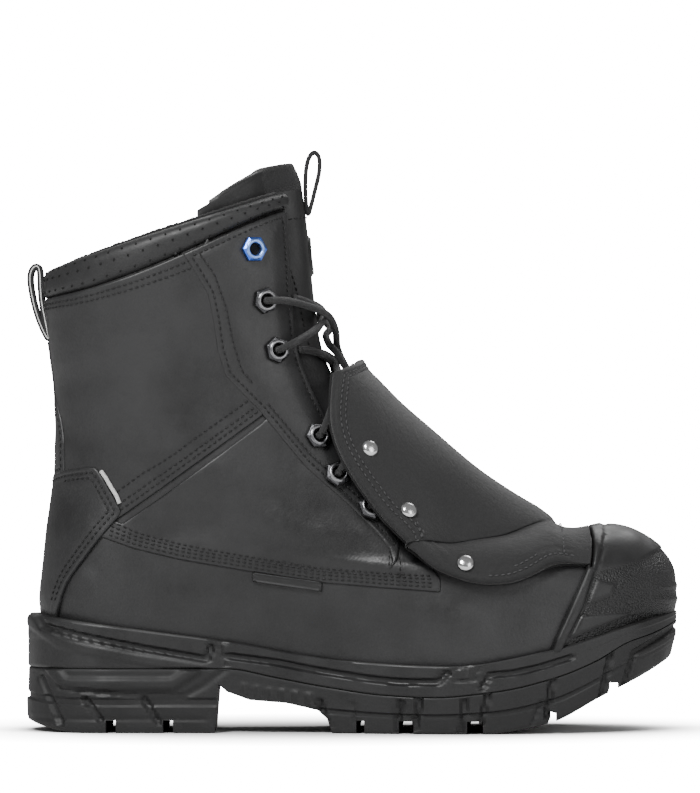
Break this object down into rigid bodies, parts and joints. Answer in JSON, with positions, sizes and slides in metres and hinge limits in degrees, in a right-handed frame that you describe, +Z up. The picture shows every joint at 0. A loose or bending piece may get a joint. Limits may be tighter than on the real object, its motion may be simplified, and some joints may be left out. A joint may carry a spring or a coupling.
{
  "type": "metatarsal guard work boot",
  "caption": "Black leather work boot with padded metatarsal guard, rubber toe cap, lugged sole, laces, pull loops and reflective piping.",
  "frame": {"origin": "on the floor under the middle of the outsole", "axes": "+X from heel to toe, +Y to the inner (medial) side of the foot, +Z up"},
  "size_m": [0.318, 0.124, 0.283],
  "materials": {
    "leather": "smooth oiled black leather",
    "tongue_leather": "soft black leather and knit",
    "nubuck": "matt black nubuck",
    "rubber": "satin black rubber",
    "lining": "dark textile",
    "lace": "round braided black lace",
    "webbing": "black webbing with silver edges",
    "gunmetal": "dark gunmetal",
    "blue_metal": "blue anodised",
    "chrome": "polished",
    "reflective": "light grey reflective piping"
  },
  "bodies": {
    "root": {"outsole": "rubber", "midsole": "rubber", "insole": "lining", "upper": "leather", "collar": "leather", "tongue": "tongue_leather", "heel_counter": "leather", "backstrip": "leather", "eyestay_lateral": "leather", "eyestay_medial": "leather", "toe_cap": "rubber", "side_tag": "rubber", "met_guard": "nubuck", "eyelet_lateral_1": "blue_metal", "eyelet_lateral_2": "gunmetal", "eyelet_lateral_3": "gunmetal", "eyelet_lateral_4": "gunmetal", "eyelet_lateral_5": "gunmetal", "eyelet_lateral_6": "gunmetal", "eyelet_medial_1": "blue_metal", "eyelet_medial_2": "gunmetal", "eyelet_medial_3": "gunmetal", "eyelet_medial_4": "gunmetal", "eyelet_medial_5": "gunmetal", "eyelet_medial_6": "gunmetal", "rivet_lateral_1": "chrome", "rivet_lateral_2": "chrome", "rivet_lateral_3": "chrome", "rivet_medial_1": "chrome", "rivet_medial_2": "chrome", "rivet_medial_3": "chrome", "lace_crossing_1": "lace", "lace_crossing_2": "lace", "lace_crossing_3": "lace", "lace_crossing_4": "lace", "lace_bar": "lace", "lace_end_lateral": "lace", "lace_end_medial": "lace", "heel_loop": "webbing", "tongue_loop": "webbing", "reflective_piping_lateral": "reflective", "reflective_piping_medial": "reflective"}
  },
  "joints": []
}
